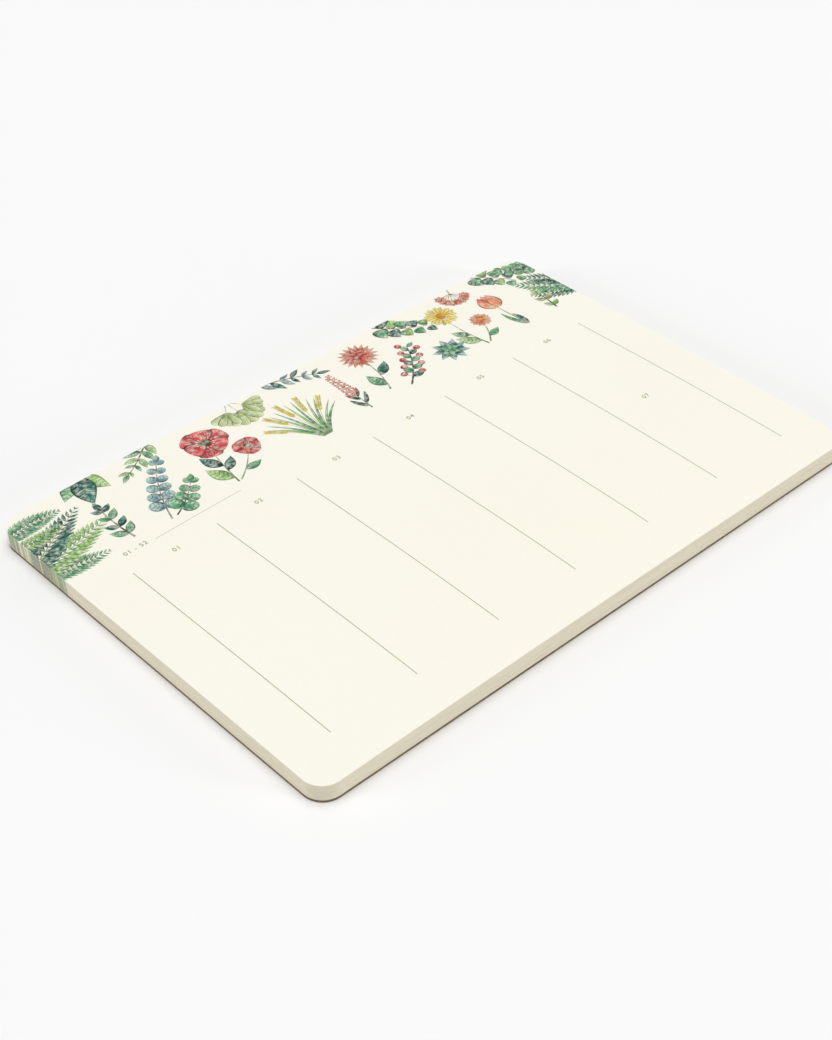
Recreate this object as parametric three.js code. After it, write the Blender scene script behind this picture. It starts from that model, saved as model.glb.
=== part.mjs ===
import * as THREE from 'three';

// A landscape tear-off planner pad lying on a desk: a block of sheets on a chipboard back, cut
// together with four round corners and held along the top edge by a thin film of padding glue.
// Millimetres. X runs along the long edge, Y from the free edge up to the glued edge, Z up.
// The origin is the middle of the board's underside.

// Driving dimensions
const PAD_WIDTH = 304.8;
const PAD_DEPTH = 209.55;
const CORNER_RADIUS = 9.5;
const SHEET_COUNT = 60;
const SHEET_THICKNESS = 0.12;
const BOARD_THICKNESS = 1.2;
const GLUE_THICKNESS = 0.4;

// How far the loose sheets stand above their pressed thickness
const MIDDLE_RISE = 3.0;
const FREE_EDGE_RISE = 1.6;
const GLUED_EDGE_WAVE = 1.0;

// Below 1 this moves the crest of the rise from the middle towards the free edge
const CREST_SKEW = 0.75;

// How much of that rise is left at the two short sides, from 0 for none to 1 for all of it
const LEFT_SIDE_SHARE = 0.2;
const RIGHT_SIDE_SHARE = 0.6;

// How finely round and bowed stretches are divided
const ARC_STEPS = 8;
const SIDE_STEPS = 14;
const TOP_RINGS = 10;

const HALF_WIDTH = PAD_WIDTH / 2;
const HALF_DEPTH = PAD_DEPTH / 2;
const BLOCK_THICKNESS = SHEET_COUNT * SHEET_THICKNESS;

const PAPER = { color: 0xf8f4e7, roughness: 0.88, metalness: 0 };
const CHIPBOARD = { color: 0x8f7c63, roughness: 0.92, metalness: 0 };
const PADDING_GLUE = { color: 0xe9e4d2, roughness: 0.45, metalness: 0 };

// Height of the top sheet over the board's underside. Across the pad the rise is a half wave that
// fades to its share at each short side. From the free edge to the glued edge it is a skewed half
// wave with a lift at the free edge, and two shallow waves grow towards the glued edge. Both
// shares of the way are clamped, so that rounding at the rim can't take them out of range.
function topHeight(x, y) {
  const across = THREE.MathUtils.clamp(x / PAD_WIDTH + 0.5, 0, 1);
  const upward = THREE.MathUtils.clamp(y / PAD_DEPTH + 0.5, 0, 1);
  const sideShare = THREE.MathUtils.lerp(LEFT_SIDE_SHARE, RIGHT_SIDE_SHARE, across);
  const acrossArch = THREE.MathUtils.lerp(sideShare, 1, Math.sin(Math.PI * across));
  const middle = MIDDLE_RISE * Math.sin(Math.PI * upward ** CREST_SKEW);
  const freeEdge = FREE_EDGE_RISE * (1 - upward) ** 2;
  const gluedEdge = GLUED_EDGE_WAVE * upward * Math.sin(2 * Math.PI * across) ** 2;
  return BOARD_THICKNESS + BLOCK_THICKNESS + acrossArch * (middle + freeEdge) + gluedEdge;
}

// The cut outline seen from above, anticlockwise: at each corner a quarter circle, and after it
// the straight side to the next corner in equal steps.
function outlinePoints(sideSteps) {
  const cornerSigns = [[1, -1], [1, 1], [-1, 1], [-1, -1]];
  const arcs = cornerSigns.map(([signX, signY], corner) => {
    const centre = new THREE.Vector2(
      signX * (HALF_WIDTH - CORNER_RADIUS),
      signY * (HALF_DEPTH - CORNER_RADIUS),
    );
    return Array.from({ length: ARC_STEPS + 1 }, (_, step) => {
      const angle = (corner - 1 + step / ARC_STEPS) * Math.PI / 2;
      return new THREE.Vector2(
        centre.x + CORNER_RADIUS * Math.cos(angle),
        centre.y + CORNER_RADIUS * Math.sin(angle),
      );
    });
  });
  return arcs.flatMap((arc, corner) => {
    const sideStart = arc[ARC_STEPS];
    const sideEnd = arcs[(corner + 1) % arcs.length][0];
    const side = Array.from({ length: sideSteps - 1 }, (_, step) => (
      sideStart.clone().lerp(sideEnd, (step + 1) / sideSteps)
    ));
    return [...arc, ...side];
  });
}

// The sheets as one block: a flat underside, upright cut walls and a gently bowed top. The top is
// a set of rings, each the outline drawn in towards the middle.
function pageBlockGeometry() {
  const rim = outlinePoints(SIDE_STEPS);
  const count = rim.length;
  const positions = [];
  for (let ring = 0; ring < TOP_RINGS; ring += 1) {
    const inward = 1 - ring / TOP_RINGS;
    rim.forEach(({ x, y }) => {
      positions.push(x * inward, y * inward, topHeight(x * inward, y * inward));
    });
  }
  const topMiddle = positions.length / 3;
  positions.push(0, 0, topHeight(0, 0));
  const undersideRim = positions.length / 3;
  rim.forEach(({ x, y }) => positions.push(x, y, BOARD_THICKNESS));
  const undersideMiddle = positions.length / 3;
  positions.push(0, 0, BOARD_THICKNESS);

  const faces = [];
  const band = (lower, upper, here, next) => {
    faces.push(lower + here, lower + next, upper + next);
    faces.push(lower + here, upper + next, upper + here);
  };
  for (let here = 0; here < count; here += 1) {
    const next = (here + 1) % count;
    for (let ring = 0; ring < TOP_RINGS - 1; ring += 1) {
      band(ring * count, (ring + 1) * count, here, next);
    }
    const lastRing = (TOP_RINGS - 1) * count;
    faces.push(lastRing + here, lastRing + next, topMiddle);
    band(undersideRim, 0, here, next);
    faces.push(undersideRim + next, undersideRim + here, undersideMiddle);
  }

  const geometry = new THREE.BufferGeometry();
  geometry.setAttribute('position', new THREE.Float32BufferAttribute(positions, 3));
  geometry.setIndex(faces);
  geometry.computeVertexNormals();
  return geometry;
}

// The stiff back, cut flush with the sheets.
function backingBoardGeometry() {
  const outline = new THREE.Shape(outlinePoints(1));
  return new THREE.ExtrudeGeometry(outline, { depth: BOARD_THICKNESS, bevelEnabled: false });
}

// The glue film on the straight part of the top edge, over board and sheets. Its upper edge
// follows the top sheet.
function bindingGlueGeometry() {
  const length = PAD_WIDTH - 2 * CORNER_RADIUS;
  const film = new THREE.BoxGeometry(length, GLUE_THICKNESS, BLOCK_THICKNESS, SIDE_STEPS, 1, 1);
  const corners = film.attributes.position;
  for (let index = 0; index < corners.count; index += 1) {
    const isOuter = corners.getY(index) > 0;
    const isUpper = corners.getZ(index) > 0;
    corners.setY(index, isOuter ? HALF_DEPTH + GLUE_THICKNESS : HALF_DEPTH);
    corners.setZ(index, isUpper ? topHeight(corners.getX(index), HALF_DEPTH) : 0);
  }
  film.computeVertexNormals();
  return film;
}

function piece(name, geometry, finish) {
  const mesh = new THREE.Mesh(geometry, new THREE.MeshStandardMaterial(finish));
  mesh.name = name;
  return mesh;
}

const notepad = new THREE.Group();
notepad.add(
  piece('backing_board', backingBoardGeometry(), CHIPBOARD),
  piece('page_block', pageBlockGeometry(), PAPER),
  piece('binding_glue', bindingGlueGeometry(), PADDING_GLUE),
);

export default notepad;
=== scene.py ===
import math

import bpy
import numpy as np
from mathutils import Matrix, Vector
from mathutils.bvhtree import BVHTree


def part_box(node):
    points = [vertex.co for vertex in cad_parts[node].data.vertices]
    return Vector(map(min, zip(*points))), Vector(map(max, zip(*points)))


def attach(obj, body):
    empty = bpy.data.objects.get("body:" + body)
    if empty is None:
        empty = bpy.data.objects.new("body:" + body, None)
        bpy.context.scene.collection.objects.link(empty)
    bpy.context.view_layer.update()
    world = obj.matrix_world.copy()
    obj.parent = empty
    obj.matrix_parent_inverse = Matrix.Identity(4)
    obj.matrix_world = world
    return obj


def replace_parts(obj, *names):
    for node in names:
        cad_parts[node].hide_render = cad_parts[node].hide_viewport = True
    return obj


# A landscape tear-off planner pad lying on a pale floor: cream sheets with round corners, a
# botanical print along the glued top edge, thin column rules, and a chipboard back.
# Metres, in the pad's own frame. Print is laid out in page millimetres, measured from the
# page's near left corner: X along the free long edge, Y up to the glued edge.

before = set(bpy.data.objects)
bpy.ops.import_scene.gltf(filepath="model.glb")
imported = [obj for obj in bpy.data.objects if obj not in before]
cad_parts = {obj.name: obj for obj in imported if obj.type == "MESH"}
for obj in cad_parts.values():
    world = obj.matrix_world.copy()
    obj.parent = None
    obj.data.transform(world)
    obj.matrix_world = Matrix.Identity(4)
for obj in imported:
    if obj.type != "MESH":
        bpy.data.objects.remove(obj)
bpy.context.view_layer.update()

MM = 0.001

# The pad, from the frame's solids and the sizes that they were built with
BLOCK_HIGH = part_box("page_block")[1]
GLUE_LOW, GLUE_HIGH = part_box("binding_glue")
HALF_WIDTH = BLOCK_HIGH.x
HALF_DEPTH = BLOCK_HIGH.y
BOARD_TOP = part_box("backing_board")[1].z
CORNER_RADIUS = 9.5 * MM
SHEET_COUNT = 60
BLOCK_THICKNESS = 7.2 * MM
SHEET_THICKNESS = BLOCK_THICKNESS / SHEET_COUNT
MIDDLE_RISE = 3.0 * MM
FREE_EDGE_RISE = 1.6 * MM
GLUED_EDGE_WAVE = 1.0 * MM
CREST_SKEW = 0.75
LEFT_SIDE_SHARE = 0.2
RIGHT_SIDE_SHARE = 0.6

# The cut outline: half of each side's straight part, and the way round one corner
HALF_STRAIGHT_X = HALF_WIDTH - CORNER_RADIUS
HALF_STRAIGHT_Y = HALF_DEPTH - CORNER_RADIUS
CORNER_ARC = CORNER_RADIUS * np.pi / 2

# Edges that meet at less than this are shaded smooth
SMOOTH_BELOW = math.radians(35)

# The page's depth and the printed band's, in page millimetres
PAGE_DEPTH = 2 * HALF_DEPTH / MM
BAND_DEPTH = 52.0

# How far printed ink lies above the paper, and one layer of ink above the next
INK_LIFT = 0.020 * MM
INK_LAYER = 0.005 * MM

# Strokes on one layer lie a hair above each other too, so that no two coincide
SLIP_STEP = 0.0006 * MM
SLIP_CYCLE = 8

dice = np.random.default_rng(7)


def page_height(x, y):
    """Height of the top sheet. Across the pad the rise is a half wave that fades to its share at
    each short side; from the free edge to the glued edge it is a skewed half wave with a lift at
    the free edge, and two shallow waves grow towards the glued edge."""
    across = np.clip(x / (2 * HALF_WIDTH) + 0.5, 0, 1)
    upward = np.clip(y / (2 * HALF_DEPTH) + 0.5, 0, 1)
    share = LEFT_SIDE_SHARE + (RIGHT_SIDE_SHARE - LEFT_SIDE_SHARE) * across
    arch = share + (1 - share) * np.sin(np.pi * across)
    middle = MIDDLE_RISE * np.sin(np.pi * upward**CREST_SKEW)
    free_edge = FREE_EDGE_RISE * (1 - upward) ** 2
    glued_edge = GLUED_EDGE_WAVE * upward * np.sin(2 * np.pi * across) ** 2
    return BOARD_TOP + BLOCK_THICKNESS + arch * (middle + free_edge) + glued_edge


def srgb(hex_colour):
    """A colour written as sRGB hex, as linear red, green and blue."""
    parts = np.array([int(hex_colour[i : i + 2], 16) for i in (1, 3, 5)]) / 255
    return np.where(parts <= 0.04045, parts / 12.92, ((parts + 0.055) / 1.055) ** 2.4)


def shade(hex_colour):
    """The same as four numbers, for a shader's colour socket."""
    return (*srgb(hex_colour), 1.0)


# Shader nodes and materials

def add(tree, kind, inputs=None, **settings):
    """Adds one node with its settings. inputs maps a socket to a value or to another output."""
    made = tree.nodes.new(kind)
    for name, value in settings.items():
        setattr(made, name, value)
    for socket, value in (inputs or {}).items():
        if isinstance(value, bpy.types.NodeSocket):
            tree.links.new(value, made.inputs[socket])
        else:
            made.inputs[socket].default_value = value
    return made


def new_finish(name, **surface):
    """A material with one Principled shader. surface holds the plain numbers for its sockets,
    with underscores in place of the spaces in a socket's name."""
    finish = bpy.data.materials.new(name)
    finish.use_nodes = True
    shader = finish.node_tree.nodes["Principled BSDF"]
    for socket, value in surface.items():
        shader.inputs[socket.replace("_", " ")].default_value = value
    return finish, finish.node_tree, shader


def uncoated_cream_paper():
    """Uncoated cream text paper: a matt sheet whose tone drifts a little over a hand's width,
    with a faint tooth of fibres in the light. Single fibres are too fine to show, so their grain
    is drawn 0.7 mm coarse."""
    finish, tree, shader = new_finish("uncoated_cream_paper", Roughness=0.9,
                                      Specular_IOR_Level=0.25)
    place = add(tree, "ShaderNodeTexCoord").outputs["Object"]
    drift = add(tree, "ShaderNodeTexNoise", {"Vector": place, "Scale": 1 / (160 * MM),
                                             "Detail": 1.0})
    tone = add(tree, "ShaderNodeMix", {"Factor": drift.outputs["Fac"], "A": shade("#FBF8EE"),
                                       "B": shade("#F9F6E6")}, data_type="RGBA")
    fibre = add(tree, "ShaderNodeTexNoise", {"Vector": place, "Scale": 1 / (0.7 * MM),
                                             "Detail": 4.0})
    speckle = add(tree, "ShaderNodeMapRange", {"Value": fibre.outputs["Fac"], "From Min": 0.3,
                                               "From Max": 0.7, "To Min": 0.975, "To Max": 1.0})
    paper = add(tree, "ShaderNodeMix", {"Factor": 1.0, "A": tone.outputs["Result"],
                                        "B": speckle.outputs["Result"]},
                data_type="RGBA", blend_type="MULTIPLY")
    tree.links.new(paper.outputs["Result"], shader.inputs["Base Color"])
    bump = add(tree, "ShaderNodeBump", {"Height": fibre.outputs["Fac"], "Strength": 0.12,
                                        "Distance": 0.05 * MM})
    tree.links.new(bump.outputs["Normal"], shader.inputs["Normal"])
    return finish


def guillotined_sheet_edges():
    """The cut edges of the stacked sheets: a slightly deeper cream than the face, drawn out in
    level lines one sheet thick, and stained where the print ran over the cut."""
    finish, tree, shader = new_finish("guillotined_sheet_edges", Roughness=0.95,
                                      Specular_IOR_Level=0.2)
    place = add(tree, "ShaderNodeTexCoord").outputs["Object"]
    tint = add(tree, "ShaderNodeAttribute", attribute_name="edge_tint")
    level = add(tree, "ShaderNodeMapping",
                {"Vector": place, "Scale": (1 / (6 * MM), 1 / (6 * MM), 1 / (0.12 * MM))})
    lines = add(tree, "ShaderNodeTexNoise", {"Vector": level.outputs["Vector"], "Scale": 1.0,
                                             "Detail": 3.0})
    depth = add(tree, "ShaderNodeMapRange", {"Value": lines.outputs["Fac"], "From Min": 0.3,
                                             "From Max": 0.7, "To Min": 0.93, "To Max": 1.0})
    edge = add(tree, "ShaderNodeMix", {"Factor": 1.0, "A": tint.outputs["Color"],
                                       "B": depth.outputs["Result"]},
               data_type="RGBA", blend_type="MULTIPLY")
    tree.links.new(edge.outputs["Result"], shader.inputs["Base Color"])
    bump = add(tree, "ShaderNodeBump", {"Height": lines.outputs["Fac"], "Strength": 0.25,
                                        "Distance": 0.05 * MM})
    tree.links.new(bump.outputs["Normal"], shader.inputs["Normal"])
    return finish


def unlined_chipboard():
    """Unlined recycled chipboard: matt grey brown with matted fibres a millimetre or two long
    and small dark and pale flecks."""
    finish, tree, shader = new_finish("unlined_chipboard", Roughness=0.93, Specular_IOR_Level=0.2)
    place = add(tree, "ShaderNodeTexCoord").outputs["Object"]
    matted = add(tree, "ShaderNodeTexNoise", {"Vector": place, "Scale": 1 / (1.6 * MM),
                                              "Detail": 5.0, "Distortion": 1.5})
    body = add(tree, "ShaderNodeValToRGB", {"Fac": matted.outputs["Fac"]})
    body.color_ramp.elements[0].position = 0.3
    body.color_ramp.elements[0].color = shade("#64553F")
    body.color_ramp.elements[1].position = 0.7
    body.color_ramp.elements[1].color = shade("#8F7C5E")
    flecks = add(tree, "ShaderNodeTexVoronoi", {"Vector": place, "Scale": 1 / (3.0 * MM)})
    fleck = add(tree, "ShaderNodeMapRange", {"Value": flecks.outputs["Distance"], "From Min": 0.08,
                                             "From Max": 0.14, "To Min": 0.55, "To Max": 1.0})
    board = add(tree, "ShaderNodeMix", {"Factor": 1.0, "A": body.outputs["Color"],
                                        "B": fleck.outputs["Result"]},
                data_type="RGBA", blend_type="MULTIPLY")
    tree.links.new(board.outputs["Result"], shader.inputs["Base Color"])
    bump = add(tree, "ShaderNodeBump", {"Height": matted.outputs["Fac"], "Strength": 0.35,
                                        "Distance": 0.1 * MM})
    tree.links.new(bump.outputs["Normal"], shader.inputs["Normal"])
    return finish


def dried_padding_glue():
    """Dried padding compound: a thin flexible film with a soft satin gloss, milky over the paper
    behind it, with brush marks a millimetre or two wide along the edge."""
    finish, tree, shader = new_finish("dried_padding_glue", Roughness=0.38, Coat_Weight=0.25,
                                      Coat_Roughness=0.3)
    place = add(tree, "ShaderNodeTexCoord").outputs["Object"]
    brushed = add(tree, "ShaderNodeMapping",
                  {"Vector": place, "Scale": (1 / (25 * MM), 1 / (2 * MM), 1 / (0.8 * MM))})
    marks = add(tree, "ShaderNodeTexNoise", {"Vector": brushed.outputs["Vector"], "Scale": 1.0,
                                             "Detail": 3.0})
    milk = add(tree, "ShaderNodeMix", {"Factor": marks.outputs["Fac"], "A": shade("#E6DFC9"),
                                       "B": shade("#F1ECDC")}, data_type="RGBA")
    tree.links.new(milk.outputs["Result"], shader.inputs["Base Color"])
    bump = add(tree, "ShaderNodeBump", {"Height": marks.outputs["Fac"], "Strength": 0.5,
                                        "Distance": 0.1 * MM})
    tree.links.new(bump.outputs["Normal"], shader.inputs["Normal"])
    return finish


def watercolour_print():
    """The botanical print: a transparent watercolour wash under fine engraved lines. The wash
    thins out in blotches of about 2 mm and pools darker at its border, and the lines follow each
    leaf's veins."""
    finish, tree, shader = new_finish("watercolour_print", Roughness=0.85, Specular_IOR_Level=0.12)
    place = add(tree, "ShaderNodeTexCoord").outputs["Object"]
    wash = add(tree, "ShaderNodeAttribute", attribute_name="wash").outputs["Color"]
    vein = add(tree, "ShaderNodeAttribute", attribute_name="vein").outputs["Fac"]
    across = add(tree, "ShaderNodeAttribute", attribute_name="across").outputs["Fac"]
    line = add(tree, "ShaderNodeMath", {0: vein, 1: 1.0}, operation="PINGPONG")
    engraved = add(tree, "ShaderNodeMapRange", {"Value": line.outputs["Value"], "From Min": 0.66,
                                                "From Max": 1.0, "To Min": 0.0, "To Max": 0.8},
                   interpolation_type="SMOOTHSTEP")
    from_midrib = add(tree, "ShaderNodeMath", {0: across}, operation="ABSOLUTE").outputs["Value"]
    border = add(tree, "ShaderNodeMapRange", {"Value": from_midrib, "From Min": 0.66,
                                              "From Max": 1.0, "To Min": 0.0, "To Max": 0.85},
                 interpolation_type="SMOOTHSTEP")
    drawn = add(tree, "ShaderNodeMath", {0: engraved.outputs["Result"],
                                         1: border.outputs["Result"]}, operation="MAXIMUM")
    pigment = add(tree, "ShaderNodeTexNoise", {"Vector": place, "Scale": 1 / (2.2 * MM),
                                               "Detail": 4.0})
    pooled = add(tree, "ShaderNodeMapRange", {"Value": pigment.outputs["Fac"], "From Min": 0.42,
                                              "From Max": 0.68, "To Min": 0.0, "To Max": 0.6})
    pale = add(tree, "ShaderNodeMix", {"Factor": pooled.outputs["Result"], "A": wash,
                                       "B": shade("#F2F3E2")}, data_type="RGBA")
    dark = add(tree, "ShaderNodeMix", {"Factor": 0.8, "A": wash, "B": shade("#1D3B35")},
               data_type="RGBA", blend_type="MULTIPLY")
    painted = add(tree, "ShaderNodeMix", {"Factor": drawn.outputs["Value"],
                                          "A": pale.outputs["Result"],
                                          "B": dark.outputs["Result"]}, data_type="RGBA")
    tree.links.new(painted.outputs["Result"], shader.inputs["Base Color"])
    return finish


def ruling_ink():
    """Pale olive ink of the rules and numbers, thin enough to break up a little on the fibres."""
    finish, tree, shader = new_finish("ruling_ink", Roughness=0.85, Specular_IOR_Level=0.3)
    place = add(tree, "ShaderNodeTexCoord").outputs["Object"]
    fibre = add(tree, "ShaderNodeTexNoise", {"Vector": place, "Scale": 1 / (0.4 * MM),
                                             "Detail": 2.0})
    ink = add(tree, "ShaderNodeMix", {"Factor": fibre.outputs["Fac"], "A": shade("#8B945C"),
                                      "B": shade("#B1B77E")}, data_type="RGBA")
    tree.links.new(ink.outputs["Result"], shader.inputs["Base Color"])
    return finish


# Meshes

def grid_faces(rows, columns, closed=False):
    """The quads of a grid of points numbered row by row; a closed grid joins its last column to
    its first."""
    row = np.arange(rows - 1)[:, None] * columns
    here = np.arange(columns if closed else columns - 1)
    after = (here + 1) % columns
    corners = [row + here, row + after, row + columns + after, row + columns + here]
    return np.stack(corners, -1).reshape(-1, 4)


def make_piece(name, points, faces, finish):
    """A mesh object at the origin that rides on the pad."""
    mesh = bpy.data.meshes.new(name)
    mesh.from_pydata(points, [], faces)
    mesh.shade_smooth()
    mesh.materials.append(finish)
    piece = bpy.data.objects.new(name, mesh)
    bpy.context.scene.collection.objects.link(piece)
    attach(piece, "root")
    return piece


def outline_at(distance):
    """Point and outward normal of the cut outline at a distance along it, anticlockwise from the
    left end of the free edge's straight part: straight sides joined by quarter circles."""
    lengths = np.array([2 * HALF_STRAIGHT_X, CORNER_ARC, 2 * HALF_STRAIGHT_Y, CORNER_ARC] * 2)
    starts = np.concatenate([[0], np.cumsum(lengths)[:-1]])
    part = np.searchsorted(starts, distance % lengths.sum(), side="right") - 1
    into = distance % lengths.sum() - starts[part]
    turned = part // 2 + np.where(part % 2, into / CORNER_ARC, 0.0)
    angle = (turned - 1) * np.pi / 2
    normal = np.stack([np.cos(angle), np.sin(angle)], -1)
    signs = [[-1, -1], [1, -1], [1, -1], [1, 1], [1, 1], [-1, 1], [-1, 1], [-1, -1]]
    centres = np.array(signs) * [HALF_STRAIGHT_X, HALF_STRAIGHT_Y]
    travel = np.where(part % 2, 0.0, into)[:, None] * np.stack([-normal[:, 1], normal[:, 0]], -1)
    return centres[part] + travel + CORNER_RADIUS * normal, normal


def outline_stations():
    """Distances along the outline at which the stack's wall has a column: close together where
    the print runs over the left and right edges, and in the corners. Each stretch goes with its
    spacing in millimetres."""
    side_x, arc = 2 * HALF_STRAIGHT_X, CORNER_ARC
    band = BAND_DEPTH * MM - CORNER_RADIUS
    plain = 2 * HALF_STRAIGHT_Y - band
    stretches = [(side_x, 5.0), (arc, 1.2), (plain, 5.0), (band, 0.35), (arc, 0.5),
                 (side_x, 2.5), (arc, 0.35), (band, 0.35), (plain, 5.0), (arc, 1.2)]
    distances, start = [], 0.0
    for length, spacing in stretches:
        steps = round(length / (spacing * MM))
        distances.append(start + np.arange(steps) / steps * length)
        start += length
    return np.concatenate(distances)


# The print, in page millimetres

brush_strokes = []


def along(origin, heading, distance):
    """The point a distance away from origin; headings are degrees anticlockwise from X."""
    turn = math.radians(heading)
    return np.asarray(origin) + distance * np.array([math.cos(turn), math.sin(turn)])


def curve(origin, heading, length, bend=0.0):
    """A quadratic curve's three control points, which sets off along heading and turns by bend."""
    middle = along(origin, heading, length / 2)
    return np.array([origin, middle, along(middle, heading + bend, length / 2)])


def point_on(spine, t):
    """Point and heading of a quadratic curve at t from 0 to 1."""
    a, b, c = spine
    point = (1 - t) ** 2 * a + 2 * t * (1 - t) * b + t**2 * c
    ahead = (1 - t) * (b - a) + t * (c - b)
    return point, math.degrees(math.atan2(ahead[1], ahead[0]))


def leaf_width(t):
    """Half width of a pointed leaf, widest a little before its middle."""
    return np.sin(np.pi * t**0.85) ** 1.1


def lance_width(t):
    """Half width of a long narrow leaf with a drawn-out tip."""
    return t**0.45 * (1 - t) ** 0.75 * 1.75


def petal_width(t):
    """Half width of a petal that opens towards a blunt round tip."""
    return t**0.7 * np.sqrt(np.clip(1 - t**5, 0, 1)) * 1.1


def round_width(t):
    """Half width of a disc along its diameter."""
    return np.sqrt(np.clip(1 - (2 * t - 1) ** 2, 0, 1))


def heart_width(t):
    """Half width of a heart-shaped leaf, broad at its base and running to a point."""
    return np.sin(np.pi * t**0.55) ** 0.8


def stem_width(t):
    """Half width of a stem that thins to a third."""
    return 1 - 0.65 * t


def stroke(spine, half_width, profile, near, far, layer, veins=0.0, slant=0.0, lit=0.36,
           rows=14, columns=5):
    """One brush stroke of the print: leaf, petal or stem. A point is the spine's point at t plus
    s times the half width's profile at t along the spine's left normal, s from -1 to 1. Its wash
    runs from near to far along t and is lighter on the left. veins counts its engraved lines:
    across the stroke and swept forward by slant, or along it where slant is None."""
    t = (0.5 - 0.5 * np.cos(np.linspace(0, np.pi, rows)))[:, None]
    s = np.linspace(-1, 1, columns)[None, :]
    a, b, c = spine
    t3 = t[..., None]
    middle = (1 - t3) ** 2 * a + 2 * t3 * (1 - t3) * b + t3**2 * c
    ahead = (1 - t3) * (b - a) + t3 * (c - b)
    ahead = ahead / np.linalg.norm(ahead, axis=-1, keepdims=True)
    left = np.stack([-ahead[..., 1], ahead[..., 0]], -1)
    reach = s * np.maximum(profile(t) * half_width, 0.03)
    points = middle + reach[..., None] * left
    mood = 1 + 0.10 * dice.standard_normal()
    mixed = srgb(near) * (1 - t3) + srgb(far) * t3
    wash = np.clip(mixed * mood * (1 + lit * s)[..., None], 0, 1)
    if slant is None:
        vein = veins * (s + 1) + 0 * t
    else:
        vein = 2 * (veins * t - slant * np.abs(s)) if veins else 0 * (s + t)
    slip = SLIP_STEP * (len(brush_strokes) % SLIP_CYCLE)
    brush_strokes.append({
        "points": points, "wash": np.broadcast_to(wash, (rows, columns, 3)),
        "vein": np.broadcast_to(vein, (rows, columns)),
        "across": np.broadcast_to(s if half_width > 0.6 else 0 * s, (rows, columns)),
        "lift": INK_LIFT + INK_LAYER * layer + slip,
    })


GREENS = {"light": ("#6C9F50", "#B2D488"), "mid": ("#2C7353", "#84BE8A"),
          "deep": ("#123F3C", "#3E8474"), "blue": ("#38697A", "#A3C9C6"),
          "olive": ("#76914A", "#C3D094")}
STEM_BROWN = ("#54453A", "#7A6A55")
STEM_GREEN = ("#557A48", "#82A668")


def stem(origin, heading, length, bend, tone, half_width, layer):
    """A thin curved stalk; returns its spine."""
    spine = curve(origin, heading, length, bend)
    stroke(spine, half_width, stem_width, *tone, layer, rows=12, columns=3, lit=0.3)
    return spine


def leaf(origin, heading, length, tone="mid", width=0.22, bend=12, layer=2, veins=7,
         profile=leaf_width, slant=0.8):
    """One veined leaf; width is its half width as a share of its length."""
    stroke(curve(origin, heading, length, bend), length * width, profile, *GREENS[tone], layer,
           veins=veins, slant=slant, rows=18, columns=9)


def fern_frond(origin, heading, length, bend, tone, layer, pairs=16, spread=0.2):
    """A frond: paired leaflets set along a stalk, longest a third of the way up."""
    stalk = stem(origin, heading, length, bend, STEM_GREEN, 0.3, layer + 2)
    for t in np.linspace(0.10, 0.97, pairs):
        base, forward = point_on(stalk, t)
        size = length * spread * math.sin(math.pi * (0.16 + 0.84 * t**0.8)) ** 0.8 + 0.8
        for side in (-1, 1):
            spine = curve(base, forward + side * (66 - 18 * t), size, -side * 22)
            stroke(spine, size * 0.15, leaf_width, *GREENS[tone], layer + (side > 0),
                   veins=4, slant=0.6, rows=9, columns=5)


def round_leaf_sprig(origin, heading, length, bend, pairs=6, tone="blue", layer=0):
    """A sprig of paired round leaves that shrink towards its tip."""
    twig = stem(origin, heading, length, bend, STEM_BROWN, 0.4, layer + 2)
    for index, t in enumerate(np.linspace(0.2, 0.95, pairs)):
        base, forward = point_on(twig, t)
        size = 8.6 - 4.6 * t
        for side in (-1, 1):
            stroke(curve(base, forward + side * (58 - 12 * t), size, side * 10), size * 0.43,
                   round_width, *GREENS[tone], layer + index % 2 + (side > 0) * 2,
                   veins=4, slant=0.9, rows=16, columns=7)
    leaf(twig[2], heading + bend, 5.0, tone, 0.3, layer=layer + 4)


def flower_stalk(base, centre, bow, leaves):
    """A stalk from base to a flower's centre, bowed to its left by bow. leaves lists its leaves:
    how far up, which side, length and tone."""
    base, centre = np.array(base), np.array(centre)
    ahead = (centre - base) / np.linalg.norm(centre - base)
    spine = np.array([base, (base + centre) / 2 + bow * np.array([-ahead[1], ahead[0]]), centre])
    stroke(spine, 0.42, stem_width, *STEM_GREEN, 1, rows=14, columns=3)
    for t, side, length, tone in leaves:
        point, forward = point_on(spine, t)
        leaf(point, forward + side * 44, length, tone, 0.23, -side * 22, 3)


def disc(centre, radius, near, far, layer, veins=0.0):
    """A small round spot, such as a berry or a flower's eye."""
    start = np.asarray(centre) - np.array([radius, 0])
    stroke(curve(start, 0, 2 * radius), radius, round_width, near, far, layer, veins=veins,
           slant=None, lit=0.35, rows=12, columns=7)


def poppy(centre, radius, tilt, layer=6):
    """An open poppy: six broad overlapping petals round a dark eye with pale stamens."""
    for ring, (count, reach) in enumerate(((3, 1.0), (3, 0.88))):
        for index in range(count):
            heading = tilt + 360 / count * index + 60 * ring
            stroke(curve(centre, heading, radius * reach), radius * 0.62, petal_width,
                   "#A92E3C", "#DE5A5C", layer + ring * 3 + index, veins=9, slant=None,
                   rows=16, columns=15)
    disc(centre, radius * 0.2, "#3D4A3F", "#5B6B4C", layer + 7)
    for heading in np.arange(0, 360, 24):
        spot = along(centre, heading + tilt, radius * 0.33)
        disc(spot, radius * 0.035, "#E9D9A0", "#D8B64F", layer + 8)


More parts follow.
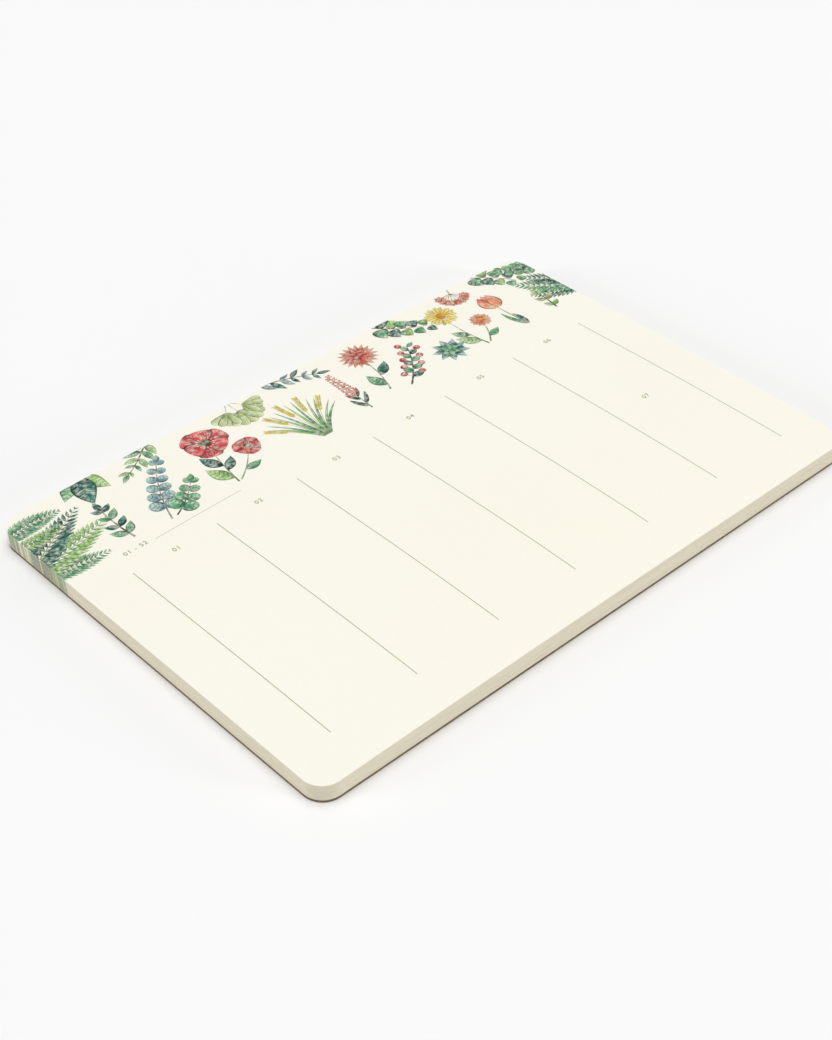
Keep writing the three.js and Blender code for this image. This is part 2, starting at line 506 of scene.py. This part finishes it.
def daisy(centre, radius, petals, near, far, layer=6):
    """A daisy: narrow petals in two rows round an ochre eye."""
    for row, reach in enumerate((1.0, 0.86)):
        for index in range(petals):
            heading = 360 / petals * (index + row / 2)
            stroke(curve(along(centre, heading, radius * 0.16), heading, radius * reach * 0.84,
                         8 * (-1) ** index), radius * 0.125, petal_width, near, far,
                   layer + row * 2 + index % 2, veins=3, slant=None, rows=9, columns=7)
    disc(centre, radius * 0.27, "#B8792B", "#DDA236", layer + 5, veins=5)


def dahlia(centre, radius):
    """A full dahlia: rings of pointed petals, shorter and deeper in colour inwards."""
    rings = ((18, 1.0, "#E99A7C"), (15, 0.78, "#E07F65"),
             (12, 0.57, "#D76A55"), (8, 0.36, "#C95248"))
    for ring, (count, reach, tip) in enumerate(rings):
        for index in range(count):
            heading = 360 / count * (index + ring * 0.37)
            stroke(curve(centre, heading, radius * reach), radius * 0.14, leaf_width, "#B9473F",
                   tip, 6 + ring * 2 + index % 2, veins=3, slant=None, rows=10, columns=7)
    disc(centre, radius * 0.1, "#A33B36", "#B9473F", 15)


def tulip(base, heading, length):
    """A coral tulip on a leafy stem: two outer petals over a middle one, closed to a cup."""
    stalk = stem(base, heading, length, -10, STEM_GREEN, 0.5, 4)
    top, up = point_on(stalk, 1.0)
    for layer, offset, side in ((5, 0, 0), (6, -1.3, -20), (7, 1.3, 20)):
        foot = along(top, up - 90, offset)
        stroke(curve(foot, up - side * 0.9, 13.5, side * 1.3), 3.6, leaf_width, "#E8A06A",
               "#D9604F", layer, veins=5, slant=None, rows=16, columns=11)
    leaf(base, heading + 24, length * 0.82, "mid", 0.10, -34, 5, 5, lance_width, 2.5)
    leaf(base, heading - 26, length * 0.62, "deep", 0.12, 38, 6, 5, lance_width, 2.5)


def berry_twig(origin, heading, length, bend):
    """A brown twig with small leaves and red berries on short stalks."""
    twig = stem(origin, heading, length, bend, STEM_BROWN, 0.5, 2)
    for index, t in enumerate(np.linspace(0.2, 0.98, 9)):
        base, forward = point_on(twig, t)
        side = (-1) ** index
        stalk = stem(base, forward + side * 58, 4.6, side * 16, STEM_BROWN, 0.2, 2)
        disc(stalk[2], 1.75, "#8E2B35", "#DB5A55", 5)
        disc(stalk[2] + np.array([0.5, 0.6]), 0.4, "#F3B7A6", "#F3B7A6", 6)
        leaf(base, forward - side * 48, 8.5 - 3.5 * t, "mid" if index % 3 else "deep", 0.27,
             side * 14, 3, 6)


def ivy_trail(origin, heading, length, bend, leaves, layer):
    """A hanging trail with heart-shaped leaves at alternate sides."""
    trail = stem(origin, heading, length, bend, STEM_BROWN, 0.35, layer + 3)
    for index, t in enumerate(np.linspace(0.06, 0.98, leaves)):
        base, forward = point_on(trail, t)
        side = (-1) ** index
        foot = along(base, forward + side * 62, 1.6)
        leaf(foot, forward + side * 54, 9.0 - 4.0 * t, ("deep", "mid", "light")[index % 3], 0.48,
             -side * 16, layer + index % 2, 4, heart_width, 1.1)


def fan_leaf(origin, heading, radius, layer):
    """A fan-shaped leaf: five wedges side by side on a thin stalk."""
    stalk = stem(origin, heading, radius * 0.7, 12, STEM_GREEN, 0.2, layer)
    foot, up = point_on(stalk, 1.0)
    for index, turn in enumerate((-44, -22, 0, 22, 44)):
        stroke(curve(foot, up + turn, radius, turn * 0.1), radius * 0.26, petal_width,
               "#8FA75B", "#D3DDA4", layer + 1 + index % 2, veins=5, slant=None,
               rows=12, columns=9)


def grass_tuft(base, count, height):
    """A tuft of bent blades with a few nodding ears of grain."""
    for index, lean in enumerate(np.linspace(-46, 46, count)):
        tall = height * (0.72 + 0.28 * math.cos(math.radians(lean * 1.6)))
        foot = (base[0] + lean * 0.05, base[1])
        tone = ("olive", "light", "mid")[index % 3]
        if index % 3:
            stroke(curve(foot, 90 - lean * 0.6, tall, -lean * 0.7), 0.85, lance_width,
                   *GREENS[tone], 2 + index % 3, veins=2, slant=None, rows=16, columns=5)
            continue
        stalk = stem(foot, 90 - lean * 0.6, tall, -lean * 0.5, ("#9AA866", "#C2B565"), 0.22, 2)
        for t in np.linspace(0.66, 1.0, 8):
            point, forward = point_on(stalk, t)
            for side in (-1, 1):
                stroke(curve(point, forward + side * 26, 3.1, -side * 12), 0.62, leaf_width,
                       "#D9BD45", "#EEDC73", 5 + (side > 0), veins=2, slant=None,
                       rows=7, columns=5)


def leafy_branch(origin, heading, length, bend, tones, size, width, pairs):
    """A woody branch with pointed leaves in pairs, each pair turned a little from the last."""
    branch = stem(origin, heading, length, bend, STEM_BROWN, 0.55, 2)
    for index, t in enumerate(np.linspace(0.14, 0.94, pairs)):
        base, forward = point_on(branch, t)
        for side in (-1, 1):
            reach = size * (1 - 0.45 * t) * (1 + 0.12 * dice.standard_normal())
            leaf(base, forward + side * (50 + 8 * (index % 2)), reach, tones[(index + side) % 2],
                 width, -side * 14, 3 + index % 3 + (side > 0), 7)
    leaf(branch[2], heading + bend, size * 0.7, tones[0], width, layer=7)


def umbel(base, heading, length, bend, spread, tone, layer, rays):
    """An umbel: rays that fan out from the top of a stalk, each with a cluster of tiny
    four-petalled flowers."""
    stalk = stem(base, heading, length, bend, STEM_BROWN, 0.4, layer)
    top, up = stalk[2], heading + bend
    for index, lean in enumerate(np.linspace(-68, 68, rays)):
        reach = spread * (0.78 + 0.22 * math.cos(math.radians(lean)))
        ray = stem(top, up + lean, reach, -lean * 0.2, STEM_BROWN, 0.2, layer)
        for turn in np.arange(0, 360, 60):
            spot = along(ray[2], turn + 17 * index, 1.75)
            for quarter in range(4):
                stroke(curve(spot, turn + 90 * quarter, 1.25), 0.62, petal_width, *tone,
                       layer + 2 + index % 4, veins=1, slant=None, lit=0.4, rows=6, columns=5)
            disc(spot, 0.22, "#6E2B2B", "#6E2B2B", layer + 7)


def rosette(centre, radius):
    """A rosette of thick pointed leaves seen from above, shorter and narrower inwards."""
    rings = ((9, 1.0, "blue"), (8, 0.76, "deep"), (6, 0.52, "mid"), (4, 0.3, "mid"))
    for ring, (count, reach, tone) in enumerate(rings):
        for index in range(count):
            heading = 360 / count * (index + 0.5 * ring)
            stroke(curve(centre, heading, radius * reach, 6), radius * (0.21 - 0.02 * ring),
                   leaf_width, *GREENS[tone], 4 + 2 * ring + index % 2,
                   veins=5, slant=None, lit=0.3, rows=12, columns=9)


def blossom_spike(base, heading, length, bend):
    """A spike of small four-petalled coral blossoms over a few narrow leaves."""
    stalk = stem(base, heading, length, bend, STEM_GREEN, 0.35, 2)
    for index, t in enumerate(np.linspace(0.42, 1.0, 12)):
        point, forward = point_on(stalk, t)
        size = 3.4 - 1.9 * (t - 0.42)
        spot = along(point, forward + 90 * (-1) ** index, 1.5 * (1.2 - t) + 0.4)
        for turn in range(4):
            stroke(curve(spot, forward + 45 + 90 * turn, size * 0.72), size * 0.30, petal_width,
                   "#C24A56", "#E98D84", 4 + index % 3, veins=2, slant=None,
                   rows=7, columns=5)
        disc(spot, 0.35, "#F0D58A", "#F0D58A", 8)
    for t, side in ((0.06, 1), (0.14, -1), (0.26, 1), (0.34, -1)):
        point, forward = point_on(stalk, t)
        leaf(point, forward + side * 40, 11 - 10 * t, "deep", 0.15, -side * 22, 3, 5,
             lance_width, 1.4)


def paint_band():
    """The botanical band, from the left edge of the page to the right; plants run over the left,
    top and right cuts."""
    top = PAGE_DEPTH
    for heading, length, bend, tone, layer in (
            (-20, 38, 16, "mid", 0), (8, 50, 10, "light", 4), (34, 50, -6, "deep", 8)):
        fern_frond((-12.0, 170.0), heading, length, bend, tone, layer)
    fern_frond((-5.0, 197.0), 16, 30, -24, "mid", 12, 13, 0.24)
    fern_frond((-4.0, 190.0), -12, 24, 26, "light", 16, 11, 0.22)
    leafy_branch((37.0, 162.0), 98, 24, -14, ("deep", "mid"), 10.0, 0.24, 4)
    for heading, length, tone, layer in (
            (-148, 19, "mid", 0), (-76, 18, "light", 1), (-112, 23, "deep", 2)):
        leaf((43.5, top + 4), heading, length, tone, 0.24, 14, layer, 8)
    round_leaf_sprig((55.0, 160.0), 74, 42, -22)
    round_leaf_sprig((58.0, 160.5), 28, 24, 22, 4, "mid", 6)
    leafy_branch((80.0, top + 4), -132, 26, -20, ("mid", "light"), 9.5, 0.20, 5)
    flower_stalk((91.0, 160.0), (97.6, 191.5), 1.5,
                 ((0.1, 1, 15, "light"), (0.3, -1, 11, "deep"), (0.42, 1, 13, "deep")))
    poppy((97.6, 192.5), 11.5, 10)
    flower_stalk((92.5, 160.5), (109.0, 177.0), -2.5, ((0.3, -1, 10, "mid"),))
    poppy((109.6, 178.0), 6.8, 35, 16)
    for heading, radius in ((-128, 11.0), (-96, 12.5), (-62, 10.0)):
        fan_leaf((125.5 + heading * 0.02, top + 1.5), heading, radius, 4)
    grass_tuft((141.0, 159.5), 15, 32)
    leafy_branch((139.0, top + 3), -16, 32, -14, ("deep", "blue"), 10.0, 0.18, 6)
    blossom_spike((168.5, 161.0), 84, 33, 8)
    flower_stalk((184.0, 166.0), (190.5, 195.0), -3.0,
                 ((0.12, 1, 13, "mid"), (0.4, -1, 12, "deep")))
    dahlia((191.0, 196.5), 10.0)
    berry_twig((193.0, 161.5), 40, 32, 24)
    ivy_trail((210.0, top + 2), -58, 30, 34, 10, 8)
    rosette((225.0, 169.5), 9.5)
    flower_stalk((242.0, 161.0), (241.5, 193.0), 3.0,
                 ((0.12, 1, 13, "light"), (0.34, 1, 10, "mid")))
    daisy((241.5, 194.0), 8.4, 15, "#E3B02E", "#F7E37C")
    flower_stalk((243.5, 161.5), (253.0, 178.0), -2.0, ((0.25, -1, 9, "mid"),))
    daisy((253.0, 178.5), 5.6, 13, "#C9563C", "#F0A684", 14)
    umbel((261.0, top + 4), -104, 8, -8, 8.5, ("#B93F3B", "#EE9A78"), 4, 8)
    tulip((268.0, 160.5), 98, 20)
    ivy_trail((271.0, top + 3), -28, 30, -34, 9, 4)
    for heading, length, bend, tone, layer in (
            (174, 30, -24, "deep", 0), (148, 36, -14, "mid", 4), (122, 32, 14, "deep", 8)):
        fern_frond((314.0, 168.0), heading, length, bend, tone, layer, 13, 0.22)
    round_leaf_sprig((309.0, 197.0), 170, 20, -24, 4, "mid", 12)
    leafy_branch((288.0, 161.5), 76, 15, 14, ("olive", "light"), 8.0, 0.24, 3)


def onto_page(page_points):
    """Page millimetres to metres in the pad's frame."""
    return page_points * MM - np.array([HALF_WIDTH, HALF_DEPTH])


def trimmed(points):
    """Draws points that lie beyond the cut outline back onto it, and says which lay beyond."""
    straight = np.array([HALF_STRAIGHT_X, HALF_STRAIGHT_Y])
    core = np.clip(points, -straight, straight)
    away = points - core
    distance = np.linalg.norm(away, axis=-1)
    beyond = distance > CORNER_RADIUS
    scale = np.where(beyond, CORNER_RADIUS / np.maximum(distance, 1e-9), 1.0)
    return core + away * scale[..., None], beyond


def print_botanicals(finish):
    """Lays all brush strokes on the bowed page as one sheet of ink, each on its own layer and
    trimmed at the cut. Returns the untrimmed ink, which says what stains the sheets' edges."""
    points, faces, wash, vein, across, lift, start = [], [], [], [], [], [], 0
    for one in brush_strokes:
        rows, columns = one["vein"].shape
        points.append(onto_page(one["points"].reshape(-1, 2)))
        faces.append(grid_faces(rows, columns)[:, ::-1] + start)
        wash.append(one["wash"].reshape(-1, 3))
        vein.append(one["vein"].ravel())
        across.append(one["across"].ravel())
        lift.append(np.full(rows * columns, one["lift"]))
        start += rows * columns
    points, faces, lift = np.concatenate(points), np.concatenate(faces), np.concatenate(lift)
    wash, vein, across = np.concatenate(wash), np.concatenate(vein), np.concatenate(across)

    flat, beyond = trimmed(points)
    kept = faces[~beyond[faces].all(axis=1)]
    used, renumbered = np.unique(kept, return_inverse=True)
    laid = np.column_stack([flat, page_height(flat[:, 0], flat[:, 1]) + lift])[used]
    ink = make_piece("botanical_print", laid, renumbered.reshape(-1, 4), finish)
    rgba = np.column_stack([wash, np.ones(len(wash))])[used]
    ink.data.attributes.new("wash", "FLOAT_COLOR", "POINT").data.foreach_set("color", rgba.ravel())
    ink.data.attributes.new("vein", "FLOAT", "POINT").data.foreach_set("value", vein[used])
    ink.data.attributes.new("across", "FLOAT", "POINT").data.foreach_set("value", across[used])
    drawn = wash * (1 - 0.75 * np.clip((np.abs(across) - 0.4) / 0.5, 0, 1))[:, None]
    return points, faces, lift, drawn


# How far the sheets are set in from the cut: each by a slip of its own, and each waving along
# the outline, once in 2 pi times WAVE_SPREAD. AIR_GAP parts them from the printed sheet above.
SHEET_SLIP = 0.035 * MM
SHEET_WAVE = 0.02 * MM
WAVE_SPREAD = 37 * MM
AIR_GAP = 0.02 * MM

# The cut edges' colour, and the share of it that is left where a sheet meets the one below
SHEET_EDGE = "#EDE6D1"
JOINT_TONE = 0.93

# A stain is read from the print this far inside the cut and at this spacing, and covers this
# share of the paper's colour
STAIN_INSET = 0.15 * MM
STAIN_STEP = 0.1 * MM
STAIN_STRENGTH = 0.8

# How far the stains drift along the edge from the top sheet to the board, and how far each sheet
# is out of register with the next
EDGE_DRIFT = 1.0 * MM
REGISTER_ERROR = 0.10 * MM


def stain_along(distances, ink):
    """Colour and cover of the ink just inside the cut, at distances along the outline: looks
    straight down on the untrimmed print."""
    points, faces, lift, drawn = ink
    tree = BVHTree.FromPolygons(np.column_stack([points, lift]).tolist(), faces.tolist())
    edge, normal = outline_at(distances)
    inside = edge - normal * STAIN_INSET
    colour, cover = np.ones((len(distances), 3)), np.zeros(len(distances))
    for index, (x, y) in enumerate(inside):
        face = tree.ray_cast(Vector((x, y, 1.0)), Vector((0, 0, -1)))[2]
        if face is not None:
            colour[index] = drawn[faces[face]].mean(axis=0)
            cover[index] = 1.0
    return colour, cover


def sheet_stack(ink, finish):
    """All sheets under the printed one, as one closed block. Each sheet has two rows of points
    round its cut edge, just above its lower face and just below its upper one, set in by its own
    small slip, and rings close the block above and below. Its edges carry the stains of the
    print that ran over the cut."""
    distances = outline_stations()
    edge, normal = outline_at(distances)
    count = len(distances)
    sheets = SHEET_COUNT - 1
    level = (np.arange(sheets)[:, None] + np.array([0.04, 0.96])).ravel() / SHEET_COUNT
    slip = np.repeat(np.abs(dice.normal(0, SHEET_SLIP, sheets)), 2)
    phase = np.repeat(dice.uniform(0, 2 * np.pi, sheets), 2)
    waver = SHEET_WAVE * (1 + np.sin(distances / WAVE_SPREAD + phase[:, None]))
    inward = slip[:, None] + waver
    rim = edge - normal * inward[..., None]
    top = page_height(edge[:, 0], edge[:, 1])
    height = BOARD_TOP + (top - BOARD_TOP) * level[:, None]
    height[0] = BOARD_TOP
    wall = np.concatenate([rim, height[..., None]], -1).reshape(-1, 3)

    # Rings drawn in from the wall's last row and from its first, and a point in the middle of each
    drawn_in = np.array([0.96, 0.85, 0.65, 0.4, 0.15])[:, None, None]
    over = (rim[-1] * drawn_in).reshape(-1, 2)
    over = np.column_stack([over, page_height(over[:, 0], over[:, 1]) - SHEET_THICKNESS - AIR_GAP])
    under = (rim[0] * drawn_in).reshape(-1, 2)
    under = np.column_stack([under, np.full(len(under), BOARD_TOP)])
    high = page_height(0.0, 0.0) - SHEET_THICKNESS - AIR_GAP
    points = np.concatenate([wall, over, under, [[0, 0, high], [0, 0, BOARD_TOP]]])
    rows, ring_count = len(level), len(drawn_in)
    middle_top, middle_bottom = len(points) - 2, len(points) - 1
    faces = grid_faces(rows + ring_count, count, True).tolist()
    first_lower = (rows + ring_count) * count
    faces += (grid_faces(ring_count, count, True)[:, ::-1] + first_lower).tolist()
    here = np.arange(count)
    after = (here + 1) % count
    faces += np.stack([after, here, first_lower + here, first_lower + after], -1).tolist()
    inmost = first_lower - count
    faces += np.stack([inmost + here, inmost + after, np.full(count, middle_top)], -1).tolist()
    inmost = first_lower + (ring_count - 1) * count
    faces += np.stack([inmost + after, inmost + here, np.full(count, middle_bottom)], -1).tolist()
    stack = make_piece("sheet_stack", points, faces, finish)
    stack.data.set_sharp_from_angle(angle=SMOOTH_BELOW)

    # Stains: every sheet repeats the print, a little out of register and drifting down the block
    fine = np.arange(0, distances[-1], STAIN_STEP)
    colour, cover = stain_along(fine, ink)
    cover = cover * dice.uniform(0.3, 1.0, len(fine))
    slide = (1 - level) * EDGE_DRIFT + np.repeat(dice.normal(0, REGISTER_ERROR, sheets), 2)
    side = np.sign(edge[:, 0])
    look = distances[None, :] + slide[:, None] * side[None, :]
    tint = np.stack([np.interp(look, fine, colour[:, channel]) for channel in range(3)], -1)
    covered = np.interp(look, fine, cover)[..., None] * STAIN_STRENGTH
    paper = srgb(SHEET_EDGE) * np.tile([JOINT_TONE, 1.0], sheets)[:, None, None]
    wall_tint = paper * (1 - covered) + tint * covered
    rest = np.tile(srgb(SHEET_EDGE), (len(points) - len(wall), 1))
    rgb = np.concatenate([wall_tint.reshape(-1, 3), rest])
    rgba = np.column_stack([rgb, np.ones(len(rgb))])
    tint_layer = stack.data.attributes.new("edge_tint", "FLOAT_COLOR", "POINT")
    tint_layer.data.foreach_set("color", rgba.ravel())
    return stack


def printed_sheet(finish):
    """The top sheet, a tenth thinner than its share of the block so that it lies free: its upper
    and lower face are one grid each, whose rows are the chords of the round-cornered outline,
    and a strip joins them all round."""
    corner = CORNER_RADIUS * np.sin(np.linspace(0, np.pi / 2, 12))
    straight = np.linspace(-HALF_STRAIGHT_Y, HALF_STRAIGHT_Y, 64)[1:-1]
    y = np.concatenate([-HALF_STRAIGHT_Y - corner[::-1], straight, HALF_STRAIGHT_Y + corner])
    past = np.clip(np.abs(y) - HALF_STRAIGHT_Y, 0, CORNER_RADIUS)
    half_chord = HALF_STRAIGHT_X + np.sqrt(CORNER_RADIUS**2 - past**2)
    rows, columns = len(y), 97
    x = np.linspace(-1, 1, columns)[None, :] * half_chord[:, None]
    y = np.repeat(y[:, None], columns, axis=1)
    upper = np.stack([x, y, page_height(x, y)], -1).reshape(-1, 3)
    lower = upper - [0, 0, SHEET_THICKNESS * 0.9]
    index = np.arange(rows * columns).reshape(rows, columns)
    rim = np.concatenate([index[0, :-1], index[:-1, -1], index[-1, :0:-1], index[:0:-1, 0]])
    after = np.roll(rim, -1)
    count = rows * columns
    strip = np.stack([rim + count, after + count, after, rim], -1)
    face_up = grid_faces(rows, columns)
    faces = np.concatenate([face_up, face_up[:, ::-1] + count, strip])
    sheet = make_piece("printed_sheet", np.concatenate([upper, lower]), faces, finish)
    sheet.data.set_sharp_from_angle(angle=SMOOTH_BELOW)
    return sheet


# Rules and numbers, in page millimetres: WEEK_LINE is its two ends' X and its Y

FIRST_RULE_X = 22.6
RULE_PITCH = 43.65
RULE_COUNT = 7
RULE_BOTTOM_Y = 20.2
RULE_TOP_Y = 144.0
RULE_WIDTH = 0.33
WEEK_LINE = (42.0, 87.4, 154.6)
WEEK_LINE_WIDTH = 0.20
NUMBER_HEIGHT = 2.4
NUMBER_WEIGHT = 0.045
NUMBER_Y = 143.2
HALF_WAY_NUMBER_Y = 81.0
WEEK_RANGE_AT = (32.5, 155.6)

# A numeral's height as a share of the built-in typeface's size
NUMERAL_SHARE = 0.7


def ink_line(start, end, width, steps=60):
    """A printed line's points and quads: two long edges that follow the bowed page."""
    start, end = np.asarray(start), np.asarray(end)
    ahead = (end - start) / np.linalg.norm(end - start)
    left = np.array([-ahead[1], ahead[0]]) * width / 2
    t = np.linspace(0, 1, steps)[:, None]
    middle = start * (1 - t) + end * t
    flat = onto_page(np.stack([middle + left, middle - left], 1).reshape(-1, 2))
    height = page_height(flat[:, 0], flat[:, 1]) + INK_LIFT
    return np.column_stack([flat, height]), grid_faces(steps, 2)[:, ::-1]


def printed_rules(finish):
    """Seven upright rules and the thinner line for the week."""
    lines = []
    for index in range(RULE_COUNT):
        x = FIRST_RULE_X + RULE_PITCH * index
        lines.append(ink_line((x, RULE_BOTTOM_Y), (x, RULE_TOP_Y), RULE_WIDTH))
    left, right, y = WEEK_LINE
    lines.append(ink_line((left, y), (right, y), WEEK_LINE_WIDTH))
    points = np.concatenate([line[0] for line in lines])
    starts = np.cumsum([0] + [len(line[0]) for line in lines[:-1]])
    faces = np.concatenate([line[1] + start for line, start in zip(lines, starts)])
    return make_piece("printed_rules", points, faces, finish)


def printed_number(text, centre, name):
    """Plain numerals in the built-in typeface, made a mesh and laid on the page: their points
    and faces."""
    words = bpy.data.curves.new(name, "FONT")
    words.body = text
    words.size = NUMBER_HEIGHT * MM / NUMERAL_SHARE
    words.align_x = "CENTER"
    words.align_y = "CENTER"
    words.space_character = 1.2
    words.offset = NUMBER_WEIGHT * MM
    holder = bpy.data.objects.new(name, words)
    bpy.context.scene.collection.objects.link(holder)
    bpy.context.view_layer.update()
    mesh = bpy.data.meshes.new_from_object(holder)
    bpy.data.objects.remove(holder)
    flat = np.zeros(len(mesh.vertices) * 3, np.float32)
    mesh.vertices.foreach_get("co", flat)
    flat = flat.reshape(-1, 3)[:, :2] + onto_page(np.asarray(centre))
    laid = np.column_stack([flat, page_height(flat[:, 0], flat[:, 1]) + INK_LIFT])
    return laid, [list(face.vertices) for face in mesh.polygons]


def printed_numbers(finish):
    """Column numbers 01 to 06 at the heads of the columns, 07 half-way down the last one, and
    the range of week numbers beside the week line."""
    column = [FIRST_RULE_X + RULE_PITCH * (index + 0.5) for index in range(RULE_COUNT - 1)]
    labels = [(f"{index + 1:02d}", (x, NUMBER_Y)) for index, x in enumerate(column)]
    labels += [("07", (column[-1], HALF_WAY_NUMBER_Y)), ("01 - 52", WEEK_RANGE_AT)]
    points, faces, start = [], [], 0
    for index, (text, centre) in enumerate(labels):
        laid, polygons = printed_number(text, centre, f"number_{index}")
        points.append(laid)
        faces += [[corner + start for corner in polygon] for polygon in polygons]
        start += len(laid)
    return make_piece("printed_numbers", np.concatenate(points), faces, finish)


# The film stops this far short of the pad's foot and top, is this deep in the sheets, and thins
# out over this stretch at each end
GLUE_MARGIN = 0.05 * MM
GLUE_BITE = 0.02 * MM
GLUE_TAPER = 1.5 * MM


def padding_glue_film(finish):
    """The glue film on the straight part of the top edge. Its section runs from the board's
    foot up the outside to the top sheet, rounded at both ends, and its thickness swells and
    thins a little along the edge where the brush passed."""
    columns, around = 240, 14
    x = np.linspace(GLUE_LOW.x, GLUE_HIGH.x, columns)[:, None]
    t = np.linspace(0, 1, around)[None, :]
    swell = 0.82 + 0.10 * np.sin(x / (11 * MM)) + 0.06 * np.sin(x / (4.3 * MM) + 1.7)
    rounded = np.sin(np.pi * t) ** 0.25
    ends = np.clip((HALF_STRAIGHT_X - np.abs(x)) / GLUE_TAPER, 0.02, 1) ** 0.5
    outer_y = HALF_DEPTH + (GLUE_HIGH.y - HALF_DEPTH) * swell * rounded * ends
    foot = GLUE_LOW.z + GLUE_MARGIN
    z = foot + (page_height(x, HALF_DEPTH) - GLUE_MARGIN - foot) * t
    x = np.broadcast_to(x, z.shape)
    outer = np.stack([x, outer_y, z], -1)
    inner = np.stack([x, np.full(z.shape, HALF_DEPTH - GLUE_BITE), z], -1)
    section = np.concatenate([outer, inner[:, ::-1]], axis=1)
    faces = grid_faces(columns, 2 * around, True)[:, ::-1].tolist()
    first = list(range(2 * around))
    last = [2 * around * (columns - 1) + corner for corner in first]
    faces += [first, last[::-1]]
    points = section.reshape(-1, 3)
    film = make_piece("padding_glue_film", points, faces, finish)
    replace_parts(film, "binding_glue")
    return film


# Floor, light and camera

# Half the floor's side, in metres
FLOOR_REACH = 6.0


def studio_floor():
    """A pale seamless floor. The camera sees it nearly white, and the light meets a plain pale
    grey, so that the pad's walls are lit from below as by a real paper sweep."""
    mesh = bpy.data.meshes.new("studio_floor")
    corners = np.array([(-1, -1, 0), (1, -1, 0), (1, 1, 0), (-1, 1, 0)]) * FLOOR_REACH
    mesh.from_pydata(corners, [], [(0, 1, 2, 3)])
    floor = bpy.data.objects.new("studio_floor", mesh)
    bpy.context.scene.collection.objects.link(floor)
    finish, tree, shader = new_finish("matt_white_sweep", Roughness=1.0, Specular_IOR_Level=0.0)
    path = add(tree, "ShaderNodeLightPath")
    seen = add(tree, "ShaderNodeMix", {"Factor": path.outputs["Is Camera Ray"],
                                       "A": shade("#ECECEC"), "B": shade("#F8F8F8")},
               data_type="RGBA")
    tree.links.new(seen.outputs["Result"], shader.inputs["Base Color"])
    mesh.materials.append(finish)


# The white room's strength straight up, at the horizon, and as the camera sees it
ROOM_OVERHEAD = 0.72
ROOM_HORIZON = 0.08
ROOM_SEEN = 0.94

# Three broad lamps so far off that they light the whole floor evenly: the direction in which
# each stands, how wide it looks in degrees, and its strength in watts per square metre
LAMPS = {
    "top_lamp": ((0.0, 0.0, 1.0), 56.0, 1.15),
    "left_lamp": ((-0.70, 0.40, 0.20), 22.0, 0.90),
    "front_lamp": ((0.70, -1.10, 0.20), 16.0, 1.03),
}


def soft_light():
    """A white room that is brightest overhead, a broad lamp straight above and two low ones for
    the cut walls."""
    world = bpy.data.worlds.new("white_room")
    bpy.context.scene.world = world
    world.use_nodes = True
    tree = world.node_tree
    outward = add(tree, "ShaderNodeTexCoord").outputs["Generated"]
    height = add(tree, "ShaderNodeSeparateXYZ", {"Vector": outward}).outputs["Z"]
    lighting = add(tree, "ShaderNodeMapRange",
                   {"Value": height, "From Min": 0.0, "From Max": 1.0,
                    "To Min": ROOM_HORIZON, "To Max": ROOM_OVERHEAD},
                   interpolation_type="SMOOTHSTEP")
    path = add(tree, "ShaderNodeLightPath")
    looked_at = add(tree, "ShaderNodeMath", {0: path.outputs["Is Camera Ray"],
                                             1: path.outputs["Is Glossy Ray"]}, operation="MAXIMUM")
    strength = add(tree, "ShaderNodeMix", {"Factor": looked_at.outputs["Value"],
                                           "A": lighting.outputs["Result"], "B": ROOM_SEEN})
    room = tree.nodes["Background"]
    room.inputs["Color"].default_value = (1, 1, 1, 1)
    tree.links.new(strength.outputs["Result"], room.inputs["Strength"])
    for name, (direction, width, watts) in LAMPS.items():
        lamp = bpy.data.lights.new(name, "SUN")
        lamp.angle = math.radians(width)
        lamp.energy = watts
        holder = bpy.data.objects.new(name, lamp)
        holder.rotation_euler = (-Vector(direction)).to_track_quat("-Z", "Y").to_euler()
        bpy.context.scene.collection.objects.link(holder)


# The camera looks down on the near left corner, as the photograph does
CAMERA_AZIMUTH = -41.952
CAMERA_ELEVATION = 39.626
CAMERA_ROLL = -0.998
CAMERA_DISTANCE = 829.3 * MM
CAMERA_TARGET = Vector((-16.03 * MM, -7.45 * MM, 0.65 * MM))
FOCAL_PIXELS = 1941.8
PHOTO_HEIGHT_PIXELS = 1040
SENSOR = 36.0


def photograph_camera():
    """The camera at the photograph's viewing angle, from its angles, distance and target."""
    azimuth, elevation, roll = map(math.radians, (CAMERA_AZIMUTH, CAMERA_ELEVATION, CAMERA_ROLL))
    back = Vector((math.sin(azimuth) * math.cos(elevation),
                   -math.cos(azimuth) * math.cos(elevation), math.sin(elevation)))
    level = Vector((math.cos(azimuth), math.sin(azimuth), 0.0))
    upright = back.cross(level)
    right = level * math.cos(roll) + upright * math.sin(roll)
    up = upright * math.cos(roll) - level * math.sin(roll)
    lens = bpy.data.cameras.new("photograph_camera")
    lens.sensor_width = SENSOR
    lens.lens = FOCAL_PIXELS / PHOTO_HEIGHT_PIXELS * SENSOR
    camera = bpy.data.objects.new("photograph_camera", lens)
    turned = Matrix((right, up, back)).transposed().to_4x4()
    camera.matrix_world = Matrix.Translation(CAMERA_TARGET + back * CAMERA_DISTANCE) @ turned
    bpy.context.scene.collection.objects.link(camera)
    bpy.context.scene.camera = camera


photograph_camera()
paint_band()
untrimmed_ink = print_botanicals(watercolour_print())
stack = sheet_stack(untrimmed_ink, guillotined_sheet_edges())
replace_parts(stack, "page_block")
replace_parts(printed_sheet(uncoated_cream_paper()), "page_block")
rule_ink = ruling_ink()
printed_rules(rule_ink)
printed_numbers(rule_ink)
padding_glue_film(dried_padding_glue())
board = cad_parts["backing_board"]
board.data.materials.clear()
board.data.materials.append(unlined_chipboard())
studio_floor()
soft_light()
bpy.context.scene.view_settings.view_transform = "Standard"
